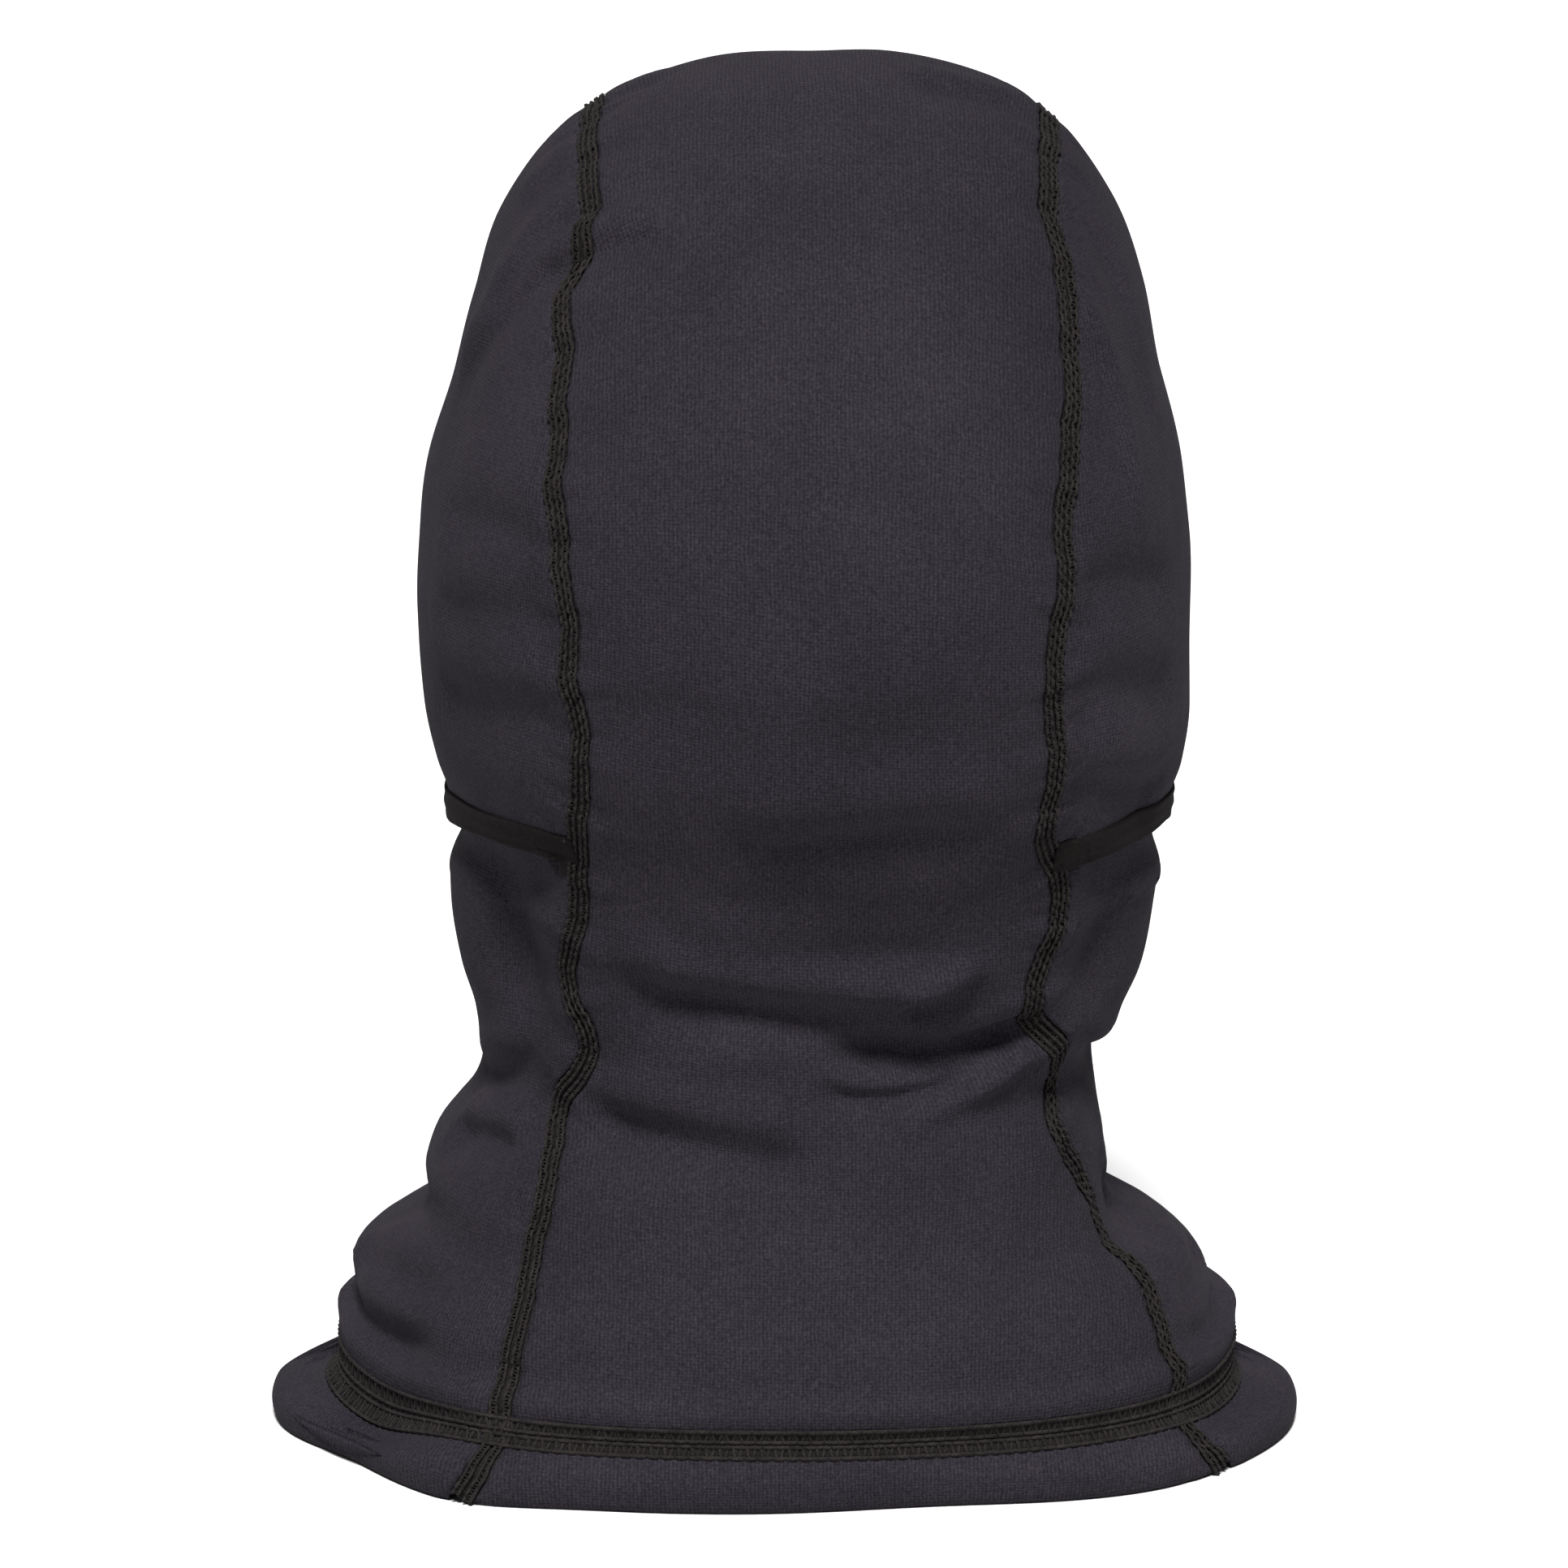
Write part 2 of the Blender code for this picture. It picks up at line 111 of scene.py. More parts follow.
MASK_TOP = (
    (60, 62, 160), (73, 32, 163), (77, -4, 167), (70, -42, 172), (52, -77, 177), (26, -100, 183),
    (0, -108, 186),
)

# Folds: depth in mm (in when negative), half-width in mm, height of the roll above it, its points.
# A line with a roll runs from the wearer's right over the back to the left, and on round the front,
# so that the roll is above it.
FOLDS = (
    (-3.4, 4.0, 3.2, (-48, 57, 112), (-37, 62, 110), (-21, 67, 109), (-3, 70, 111), (15, 69, 113),
     (33, 65, 116), (46, 61, 121)),
    (-2.6, 2.2, 1.4, (-40, 60, 119), (-31, 63, 114), (-22, 66, 110)),
    (-7.5, 5.0, 0.0, (-57, 48, 105), (-52, 52, 103), (-42, 57, 100), (-30, 62, 99), (-17, 66, 100),
     (-4, 68, 102)),
    (2.6, 3.2, 0.0, (-59, 41, 97), (-52, 50, 97), (-44, 55, 93), (-35, 60, 89), (-22, 64, 86)),
    (-3.2, 2.4, 1.4, (-41, 57, 94), (-30, 61, 91), (-13, 66, 91), (-1, 67, 95)),
    (-3.4, 4.4, 2.4, (-7, 67, 80), (1, 69, 77), (10, 68, 78), (28, 63, 81), (41, 57, 83), (50, 50, 87)),
    (2.6, 8.0, 0.0, (-6, 67, 101), (12, 67, 103), (24, 64, 100), (41, 57, 94)),
    (-2.8, 5.5, 1.6, (-46, 75, 151), (-29, 85, 156), (-13, 88, 155), (4, 87, 153), (22, 85, 154)),
    (-1.0, 6.0, 0.6, (-47, 65, 134), (-29, 73, 134), (-12, 78, 137), (6, 80, 140), (24, 75, 137)),
    (-1.2, 5.0, 0.8, (-40, 64, 122), (-21, 72, 125), (-3, 74, 124), (15, 72, 123), (35, 68, 126)),
    (-0.9, 6.0, 0.0, (18, 98, 189), (32, 93, 186), (46, 84, 182)),
    (-7.5, 11.0, 0.0, (74, 30, 146), (72, 34, 136), (69, 40, 127), (65, 42, 115), (60, 45, 104),
     (55, 46, 95)),
    (-5.0, 10.0, 0.0, (-75, 37, 140), (-72, 39, 128), (-68, 40, 118), (-64, 42, 109), (-60, 44, 101)),
    (-3.4, 3.0, 2.0, (63, 45, 73), (71, 33, 73), (79, 12, 69)),
    (-2.0, 3.4, 1.2, (56, 44, 97), (66, 36, 90), (72, 20, 84), (73, 0, 80)),
    (-2.0, 3.0, 1.2, (-72, -2, 86), (-70, 16, 88), (-64, 32, 92), (-60, 40, 96)),
    (-1.8, 3.5, 1.2, (52, 50, 275), (59, 44, 269), (65, 39, 262), (71, 32, 254), (77, 22, 241)),
    (-1.6, 3.0, 0.9, (48, 39, 289), (54, 39, 282), (61, 37, 273), (69, 30, 261)),
    (-1.2, 3.0, 0.8, (47, 24, 298), (54, 24, 292), (63, 21, 282)),
    (-2.2, 2.6, 1.8, (26, 60, 285), (32, 58, 284), (45, 53, 280), (54, 47, 275), (60, 43, 269)),
    (1.8, 4.0, 0.0, (-57, 43, 280), (-63, 48, 266), (-68, 48, 251), (-72, 53, 234), (-74, 58, 214)),
    (-1.6, 5.0, 0.0, (-62, 29, 284), (-71, 32, 266), (-75, 33, 249), (-79, 37, 231)),
    (-1.4, 3.0, 0.9, (-58, 10, 298), (-47, 15, 305), (-35, 17, 309), (-20, 18, 312)),
    (-1.4, 3.0, 0.9, (30, 6, 311), (37, 2, 308), (46, 5, 303)),
    (-1.0, 12.0, 0.0, (12, 2, 315), (26, 0, 312), (40, -6, 307)),
    (-2.0, 5.5, 1.0, (53, 80, 221), (61, 72, 220), (70, 59, 220), (79, 38, 218)),
    (-2.0, 5.5, 1.0, (50, 84, 207), (61, 74, 203), (70, 62, 200), (82, 35, 194)),
    (-2.2, 5.5, 1.2, (48, 83, 184), (59, 73, 181), (70, 59, 179), (82, 30, 178)),
    (-2.0, 5.5, 1.0, (-83, 38, 202), (-70, 64, 208), (-58, 78, 208)),
    (-1.8, 5.5, 1.0, (-83, 35, 179), (-70, 63, 184), (-58, 77, 186)),
    (-2.2, 5.0, 1.4, (-83, 32, 154), (-73, 52, 158), (-58, 72, 165)),
    (-3.0, 3.8, 1.8, (80, 50, 42), (86, 41, 42), (94, 28, 40), (100, 0, 37)),
    (-2.0, 3.8, 1.2, (83, 54, 31), (94, 38, 27), (102, 15, 25), (104, -8, 25)),
    (-2.4, 3.6, 1.4, (-99, -6, 38), (-95, 8, 36), (-92, 20, 35), (-84, 38, 37)),
    (-1.8, 3.4, 1.2, (-102, -6, 25), (-100, 8, 25), (-96, 25, 24), (-88, 41, 28)),
    (-2.4, 3.4, 1.4, (-78, -8, 55), (-77, 6, 54), (-73, 19, 58)),
    (-1.0, 8.0, 0.0, (-39, 64, 62), (-3, 71, 64), (24, 70, 62), (50, 60, 64)),
    (-0.9, 8.0, 0.0, (-43, 69, 44), (-12, 76, 43), (15, 75, 45)),
    (-2.6, 6.0, 1.4, (30, -70, 92), (0, -74, 90), (-30, -70, 92)),
    (-2.0, 5.0, 1.4, (60, -42, 84), (30, -62, 76), (0, -68, 74), (-30, -62, 76), (-60, -42, 84)),
    (-1.8, 7.0, 1.2, (50, -72, 40), (0, -80, 46), (-50, -72, 40)),
    (-1.4, 5.0, 0.8, (74, -30, 118), (52, -66, 124), (28, -88, 126)),
    (-1.4, 5.0, 0.8, (-30, -88, 124), (-54, -66, 120), (-78, -28, 116)),
    (-1.0, 7.0, 0.6, (22, -88, 268), (0, -90, 272), (-20, -88, 270)),
)
# Where the skirt's plan departs from its ring: angle from the back and spread in degrees, depth in
# mm, and the levels in mm between which it fades
HEM_LOBES = (
    (66, 11, -6.5, 8, 55), (45, 9, 3.0, 5, 45), (-22, 20, -4.5, 4, 40), (-66, 10, -1.5, 8, 40),
    (108, 15, -5.0, 12, 24), (-108, 15, -5.0, 12, 24),
)
# How the sides stand off the smooth skin: level and offset in mm, left then right
LEFT_DRAPE = (
    (0, 0.5), (3, 0.5), (8, -1), (13, -4), (17, -1.5), (22, 2), (27, -1), (32, 0.5), (36, 2), (41, 0),
    (45, -2), (50, -5.5), (54, -3.5), (59, 0.5), (65, 1.2), (71, 0.2), (77, -1), (84, -0.3), (96, 0),
)
RIGHT_DRAPE = (
    (0, 0.5), (3, 0.5), (8, -1), (13, -4), (17, -1), (22, 2), (27, -1), (33, 0), (41, -0.5), (46, -3),
    (52, -7), (58, -5), (62, -3.5), (68, -1), (75, -0.5), (83, 0), (96, 0),
)


def smooth_table(rows):
    """A smooth function through rows of (key, values...), level beyond both ends."""
    table = np.array(rows, float)
    keys, values = table[:, 0], table[:, 1:]
    slopes = np.zeros_like(values)
    steps = np.diff(values, axis=0) / np.diff(keys)[:, None]
    slopes[1:-1] = np.where(steps[1:] * steps[:-1] > 0,
                            2 * steps[1:] * steps[:-1] / (steps[1:] + steps[:-1] + 1e-12), 0.0)

    def at(key):
        key = np.clip(key, keys[0], keys[-1])
        i = np.clip(np.searchsorted(keys, key, side="right") - 1, 0, len(keys) - 2)
        span = (keys[i + 1] - keys[i])[..., None]
        t = (key - keys[i])[..., None] / span
        return ((1 + 2 * t) * (1 - t) ** 2 * values[i] + t * (1 - t) ** 2 * span * slopes[i]
                + t * t * (3 - 2 * t) * values[i + 1] + t * t * (t - 1) * span * slopes[i + 1])

    return at


CENTRE_MM = HEAD_CENTRE * 1000
OUTER = smooth_table(LOWER + tuple((CENTRE_MM + row[0],) + row[1:] for row in UPPER))
INNER = smooth_table(INSIDE)
DRAPE = smooth_table(LEFT_DRAPE), smooth_table(RIGHT_DRAPE)


def step(low, high, value):
    """0 below low, 1 above high, smooth between."""
    t = np.clip((np.asarray(value, float) - low) / (high - low), 0, 1)
    return t * t * (3 - 2 * t)


def unit(vectors):
    """Vectors brought to length one."""
    return vectors / np.maximum(np.linalg.norm(vectors, axis=-1, keepdims=True), 1e-12)


def skin(turn, station, inside=False):
    """Points of the skin by angle from the back towards the left, and by station.

    A station up to the head's centre is a level in mm; above it each mm is a degree of elevation.
    """
    turn, station = np.broadcast_arrays(np.asarray(turn, float), np.asarray(station, float))
    left, right, back, front, square = np.moveaxis(OUTER(station), -1, 0)
    if inside:
        hidden = np.moveaxis(INNER(station), -1, 0)
        under = station > INSIDE[0][0]
        left, right, back, front = (np.where(under, b, a) for a, b in zip((left, right, back, front), hidden))
    across, along = np.sin(turn), np.cos(turn)
    side, end = np.where(across > 0, left, right), np.where(along > 0, back, front)
    square = np.where(along > 0, square, 1.6 + 0.4 * np.clip((station - 5) / 25, 0, 1))
    radius = (np.abs(across / side) ** square + np.abs(along / end) ** square) ** (-1 / square) / 1000
    rise = np.radians(np.maximum(station - CENTRE_MM, 0))
    level = np.minimum(station, CENTRE_MM) / 1000 + radius * np.sin(rise)
    return np.stack((radius * np.cos(rise) * across, radius * np.cos(rise) * along, level), -1)


def address(points):
    """Angle and station of points, seen from the middles of their rings."""
    x, y, z = np.moveaxis(np.asarray(points, float), -1, 0)
    rise = np.degrees(np.arctan2(z - HEAD_CENTRE, np.hypot(x, y)))
    return np.arctan2(x, y), np.where(z <= HEAD_CENTRE, z * 1000, CENTRE_MM + rise)


def laid(points, inside=False):
    """Nearby points moved onto the skin."""
    return skin(*address(points), inside=inside)


def laid_at_x(points):
    """Nearby points moved onto the skin without changing their x."""
    points = np.array(points, float)
    guess = points.copy()
    for _ in range(10):
        guess[..., 1:] = laid(guess)[..., 1:]
    return laid(guess)


def outward(points, inside=False):
    """Unit normals of the skin."""
    turn, station = address(points)
    around = skin(turn + 0.01, station, inside) - skin(turn - 0.01, station, inside)
    upward = skin(turn, station + 0.6, inside) - skin(turn, station - 0.6, inside)
    normal = unit(np.cross(upward, around))
    radial = unit(points - np.array((0, 0, HEAD_CENTRE)))
    crown = step(CENTRE_MM + 74, CENTRE_MM + 84, station)[..., None]
    return unit(normal * (1 - crown) + radial * crown)


def distances(line):
    """Distance along a line at each of its points."""
    return np.concatenate(([0], np.cumsum(np.linalg.norm(np.diff(line, axis=0), axis=1))))


def spline(knots, count):
    """Evenly spaced points on a smooth curve through the knots."""
    knots = np.array(knots, float)
    padded = np.vstack((2 * knots[0] - knots[1], knots, 2 * knots[-1] - knots[-2]))
    t = np.linspace(0, 1, 16, endpoint=False)[:, None]
    fine = []
    for a, b, c, d in zip(padded, padded[1:], padded[2:], padded[3:]):
        fine.append(0.5 * (2 * b + (c - a) * t + (2 * a - 5 * b + 4 * c - d) * t ** 2
                           + (3 * b - a - 3 * c + d) * t ** 3))
    fine = np.vstack(fine + [knots[-1:]])
    reach = distances(fine)
    wanted = np.linspace(0, reach[-1], count)
    return np.column_stack([np.interp(wanted, reach, fine[:, axis]) for axis in range(fine.shape[1])])


def beside(line, distance):
    """The line moved sideways on the skin: to the left of its direction when distance is positive."""
    aside = unit(np.cross(outward(line), np.gradient(line, axis=0)))
    return laid(line + aside * distance)


def nearest(line, point):
    """Index of the line's point that is closest to a point."""
    return int(np.argmin(np.linalg.norm(line - np.asarray(point), axis=1)))


# Seams and edges as dense lines on the skin ------------------------------------------------------
SEAM_COUNT = 361           # points on each back seam
SEAM_EASING = 20           # smoothing passes


def eased(line, passes):
    """The line with its tight kinks taken out, its ends kept."""
    out = line.copy()
    for _ in range(passes):
        out[1:-1] = (out[:-2] + 2 * out[1:-1] + out[2:]) / 4
    return out


seam_left = laid_at_x(eased(spline(np.array(SEAM_LEFT) / 1000, SEAM_COUNT), SEAM_EASING))
seam_right = laid_at_x(eased(spline(np.array(SEAM_RIGHT) / 1000, SEAM_COUNT), SEAM_EASING))
for seam in (seam_left, seam_right):
    seam[0, 2] = 0.0


def seam_at(line, level):
    """Point of a line along a back seam at a level below the head's centre."""
    rising = line[line[:, 2] < 0.2][:int(SEAM_COUNT * 0.45)]
    return laid([np.interp(level, rising[:, 2], rising[:, axis]) for axis in range(3)])


def seam_side(line, distance):
    """The line beside a back seam at a distance, its points level with the seam's near the floor."""
    below = line[0] + (line[0] - line[1]) * 4
    moved = beside(np.vstack((below, line)), distance)
    low = int(np.searchsorted(line[:60, 2], 0.03))
    out = moved[1:].copy()
    for i in range(low):
        share = line[i, 2] / line[low, 2]
        level = np.array([np.interp(line[i, 2], moved[:80, 2], moved[:80, axis]) for axis in range(3)])
        out[i] = laid(level * (1 - share) + out[i] * share)
        out[i, 2] = out[i, 2] if share else 0.0
    return out


half_seam = SEAM_WIDTH / 2
start_left, start_right = seam_at(seam_left, JUNCTION), seam_at(seam_right, JUNCTION - 0.003)
edge_knots = np.vstack((start_left * 1000, HOOD_EDGE_LEFT,
                        HOOD_EDGE_RIGHT[::-1], start_right * 1000)) / 1000
hood_edge = laid(spline(edge_knots, 601))
edge_inner = beside(hood_edge, -BINDING_WIDTH / 2 + 0.0006)
for seam in (seam_left, seam_right):
    gap = np.linalg.norm(seam[-60:, None] - edge_inner[None, 200:400], axis=2)
    cut = len(seam) - 60 + int(np.argmin(gap.min(axis=1)))
    seam[:] = spline(seam[:cut + 1], SEAM_COUNT)


# The relief of the cloth: folds, puckers along the seams and a gentle unevenness -------------------
def prepared(fold):
    """A fold in metres, with its line on the skin and the direction across it."""
    depth, width, roll, *knots = fold
    line = laid(spline(np.array(knots) / 1000, 48))
    aside = unit(np.cross(outward(line), np.gradient(line, axis=0)))
    return depth / 1000, width / 1000, roll / 1000, line, aside


FOLD_LINES = [prepared(fold) for fold in FOLDS]


def seam_pucker(points, line, seed):
    """Small ripples that run out of a flat seam."""
    near = np.full(len(points), 1.0)
    along = np.zeros(len(points))
    reach = distances(line)
    close = (points >= line.min(axis=0) - 0.03).all(axis=1) & (points <= line.max(axis=0) + 0.03).all(axis=1)
    index = np.flatnonzero(close)
    for part in np.array_split(index, max(1, len(index) // 4000)):
        if len(part):
            gaps = np.linalg.norm(points[part, None] - line[None, ::2], axis=2)
            best = gaps.argmin(axis=1)
            near[part], along[part] = gaps[np.arange(len(part)), best], reach[::2][best]
    wave = (np.sin(along * 2 * math.pi / 0.019 + seed + 1.3 * np.sin(along * 38))
            + 0.6 * np.sin(along * 2 * math.pi / 0.0087 + 2 * seed))
    tuck = np.exp(-(near / 0.0042) ** 2)
    return 0.00042 * wave * np.exp(-((near - 0.004) / 0.0065) ** 2) - 0.00055 * tuck


def relief(points, inside=False):
    """How far the cloth stands off the skin at points on it, in metres."""
    fold_reach = 4.5       # in half-widths
    flat = points.reshape(-1, 3)
    out = np.zeros(len(flat))
    for depth, width, roll, line, aside in FOLD_LINES:
        reach = fold_reach * width
        close = ((flat >= line.min(axis=0) - reach) & (flat <= line.max(axis=0) + reach)).all(axis=1)
        index = np.flatnonzero(close)
        if not len(index):
            continue
        gaps = np.linalg.norm(flat[index, None] - line[None], axis=2)
        best = gaps.argmin(axis=1)
        distance = gaps[np.arange(len(index)), best]
        side = -np.einsum("ij,ij->i", flat[index] - line[best], aside[best])
        along = best / (len(line) - 1)
        past = np.sqrt(np.maximum(distance ** 2 - side ** 2, 0))
        taper = 0.5 if width > 0.007 else 0.26
        ends = step(0, taper, along + 0.02) * step(0, taper, 1.02 - along) * np.exp(-(past / width) ** 2)
        sharp = np.where(side > 0, width, 1.9 * width) if roll else width
        out[index] += ends * (depth * np.exp(-(side / sharp) ** 2)
                              + roll * np.exp(-((side - 2.3 * width) / (1.5 * width)) ** 2))
    turn, station = address(flat)
    angle = np.degrees(turn)
    for drape, sign in zip(DRAPE, (1, -1)):
        off_side = (angle * sign - 92) / 36
        out += drape(station)[:, 0] / 1000 * np.exp(-off_side ** 2) * (station < 100)
    for middle, spread, depth, low, high in HEM_LOBES:
        out += depth / 1000 * np.exp(-((angle - middle) / spread) ** 2) * (1 - step(low, high, station))
    pucker = seam_pucker(flat, seam_left, 0.4) + seam_pucker(flat, seam_right, 2.1)
    out += pucker * (1 - step(130, 146, station)) if inside else pucker
    x, y, z = flat.T * 1000
    uneven = (np.sin(x * 0.061 + 1.7 * np.sin(z * 0.043) + 0.5) * np.sin(z * 0.052 + y * 0.03)
              + 0.5 * np.sin(x * 0.13 - z * 0.11 + 2.0) * np.sin(y * 0.12 + z * 0.09))
    out += 0.00035 * uneven * step(20, 45, station)
    out += (0.0009 * np.exp(-((station - 6.0) / 4.0) ** 2) - 0.0012 * np.exp(-((station - 15.8) / 3.0) ** 2)
            + 0.0012 * np.exp(-((station - 22.5) / 3.0) ** 2))
    return out.reshape(points.shape[:-1])


def dressed(points, inside=False, lift=0.0):
    """Skin points raised by the cloth's relief, in the garment's own frame."""
    return points + outward(points, inside) * (relief(points, inside) + lift)[..., None] - FOOTPRINT_MIDDLE


# Mesh makers --------------------------------------------------------------------------------------
collection = bpy.data.collections.new("balaclava_looks")
bpy.context.scene.collection.children.link(collection)


def mesh_object(name, verts, faces, uv, material):
    """A smooth-shaded mesh in the scene, with its flat coordinates and one material."""
    mesh = bpy.data.meshes.new(name)
    mesh.from_pydata(verts.tolist(), [], faces.tolist())
    layer = mesh.uv_layers.new(name="cloth")
    index = np.empty(len(mesh.loops), dtype=np.int32)
    mesh.loops.foreach_get("vertex_index", index)
    layer.data.foreach_set("uv", np.asarray(uv, float)[index].ravel())
    mesh.materials.append(material)
    mesh.shade_smooth()
    made = bpy.data.objects.new(name, mesh)
    collection.objects.link(made)
    return made


def grid_faces(rows, columns, closed=False):
    """Four-sided faces of a grid of points, joined round its columns when closed."""
    r = np.arange(rows - 1)[:, None]
    c = np.arange(columns if closed else columns - 1)[None]
    after = (c + 1) % columns
    quad = np.stack(np.broadcast_arrays(r * columns + c, r * columns + after,
                                        (r + 1) * columns + after, (r + 1) * columns + c), -1)
    return quad.reshape(-1, 4)


def cloth(name, grid, uv, thickness=FABRIC, material=None):
    """A sheet over a grid of finished points, thickened inwards."""
    faces = grid_faces(*grid.shape[:2])
    middle = grid[len(grid) // 2]
    facing = np.cross(np.gradient(middle, axis=0), grid[len(grid) // 2 + 1] - middle)
    if np.einsum("ij,ij->", facing, outward(middle + FOOTPRINT_MIDDLE)) < 0:
        faces = faces[:, ::-1]
    made = mesh_object(name, grid.reshape(-1, 3), faces, uv.reshape(-1, 2), material or knit)
    wall = made.modifiers.new("thickness", "SOLIDIFY")
    wall.thickness, wall.offset, wall.use_even_offset = thickness, -1.0, False
    return made


def patch(first, last, start, end, columns, power=5):
    """Grid of guess points between two long lines and the two short lines that close them."""
    across = np.linspace(0, 1, columns)[None, :, None]
    t = np.linspace(0, 1, len(first))[:, None, None]
    grid = first[:, None] * (1 - across) + last[:, None] * across
    straight_start = first[0] * (1 - across[0]) + last[0] * across[0]
    straight_end = first[-1] * (1 - across[0]) + last[-1] * across[0]
    return grid + (1 - t) ** power * (start - straight_start) + t ** power * (end - straight_end)


def tube_rows(lines, radius, sides=5, flat=1.0):
    """Threads along several lines, each a pair of points and normals; returns vertices, faces and uv."""
    verts, faces, uvs, base = [], [], [], 0
    angles = np.linspace(0, 2 * math.pi, sides, endpoint=False)
    for points, normals in lines:
        ahead = unit(np.gradient(points, axis=0))
        aside = unit(np.cross(normals, ahead))
        up = np.cross(ahead, aside)
        ring = (points[:, None] + radius * (np.cos(angles)[None, :, None] * aside[:, None]
                                            + flat * np.sin(angles)[None, :, None] * up[:, None]))
        count = len(points)
        verts.append(ring.reshape(-1, 3))
        faces.append(grid_faces(count, sides, closed=True)[:, ::-1] + base)
        reach = distances(points)
        uv = np.stack(np.broadcast_arrays(angles[None] * radius, reach[:, None]), -1)
        uvs.append(uv.reshape(-1, 2))
        base += count * sides
    return np.vstack(verts), np.vstack(faces), np.vstack(uvs)


# Materials -----------------------------------------------------------------------------------------
def nodes_of(name, roughness, sheen):
    """A matt material, its node tree and its shader."""
    material = bpy.data.materials.new(name)
    material.use_nodes = True
    tree = material.node_tree
    shader = tree.nodes["Principled BSDF"]
    shader.inputs["Roughness"].default_value = roughness
    shader.inputs["Specular IOR Level"].default_value = 0.02
    shader.inputs["Sheen Weight"].default_value = sheen
    shader.inputs["Sheen Roughness"].default_value = 0.5
    shader.inputs["Sheen Tint"].default_value = (0.55, 0.50, 0.60, 1.0)
    return material, tree, shader


def add(tree, kind, **values):
    """A node with its inputs or settings given by name."""
    node = tree.nodes.new(kind)
    for key, value in values.items():
        if key in node.inputs:
            node.inputs[key].default_value = value
        else:
            setattr(node, key, value)
    return node


def noise(tree, vector, scale, detail=2.0, roughness=0.5):
    """Noise from 0 to 1 at a scale per metre."""
    node = add(tree, "ShaderNodeTexNoise", Scale=scale, Detail=detail, Roughness=roughness)
    tree.links.new(vector, node.inputs["Vector"])
    return node.outputs["Fac"]


def maths(tree, operation, a, b=0.0):
    """One sum on sockets or numbers."""
    node = add(tree, "ShaderNodeMath", operation=operation)
    for socket, value in zip(node.inputs, (a, b)):
        if isinstance(value, (int, float)):
            socket.default_value = value
        else:
            tree.links.new(value, socket)
    return node.outputs[0]


def ramp(tree, factor, *stops):
    """Colours between stops of position and colour."""
    node = tree.nodes.new("ShaderNodeValToRGB")
    tree.links.new(factor, node.inputs["Fac"])
    elements = node.color_ramp.elements
    while len(elements) < len(stops):
        elements.new(0.5)
    for element, (position, colour) in zip(elements, stops):
        element.position, element.color = position, (*colour, 1.0)
    return node.outputs["Color"]


def bump(tree, shader, height, distance):
    """Relief in the shading from a height from 0 to 1, for a height of the distance in metres."""
    node = add(tree, "ShaderNodeBump", Strength=1.0, Distance=distance)
    tree.links.new(height, node.inputs["Height"])
    tree.links.new(node.outputs["Normal"], shader.inputs["Normal"])


def knit_material(name, dark, mid, light, wale=0.00090, course=0.00075, depth=0.00018):
    """Jersey-faced fleece: upright wales, loops across them, mixed-yarn specks and brushed fuzz."""
    material, tree, shader = nodes_of(name, 0.9, 0.02)
    uv = add(tree, "ShaderNodeUVMap", uv_map="cloth").outputs["UV"]
    place = tree.nodes.new("ShaderNodeTexCoord").outputs["Object"]
    drift = noise(tree, place, 60.0, 2.0)
    split = tree.nodes.new("ShaderNodeSeparateXYZ")
    tree.links.new(uv, split.inputs[0])
    u = maths(tree, "ADD", split.outputs["X"], maths(tree, "MULTIPLY", drift, 0.0016))
    v = maths(tree, "ADD", split.outputs["Y"], maths(tree, "MULTIPLY", drift, 0.0012))
    ridges = maths(tree, "ABSOLUTE", maths(tree, "SINE", maths(tree, "MULTIPLY", u, math.pi / wale)))
    loops = maths(tree, "SINE", maths(tree, "MULTIPLY", v, 2 * math.pi / course))
    fuzz = noise(tree, place, 2600.0, 3.0, 0.7)
    broad = noise(tree, place, 420.0, 2.0)
    height = maths(tree, "ADD", maths(tree, "MULTIPLY", ridges, 0.55), maths(tree, "MULTIPLY", loops, 0.16))
    height = maths(tree, "ADD", height, maths(tree, "MULTIPLY", fuzz, 0.9))
    height = maths(tree, "ADD", height, maths(tree, "MULTIPLY", broad, 0.5))
    bump(tree, shader, height, depth)
    speck = noise(tree, place, 1500.0, 2.0, 0.8)
    cloudy = noise(tree, place, 26.0, 3.0, 0.6)
    tone = maths(tree, "ADD", maths(tree, "MULTIPLY", speck, 0.66), maths(tree, "MULTIPLY", cloudy, 0.18))
    tone = maths(tree, "ADD", tone, maths(tree, "MULTIPLY", ridges, 0.10))
    tone = maths(tree, "ADD", tone, maths(tree, "MULTIPLY", broad, 0.06))
    tree.links.new(ramp(tree, tone, (0.30, dark), (0.50, mid), (0.72, light)), shader.inputs["Base Color"])
    rough = maths(tree, "ADD", maths(tree, "MULTIPLY", cloudy, 0.05), 0.82)
    tree.links.new(rough, shader.inputs["Roughness"])
    return material


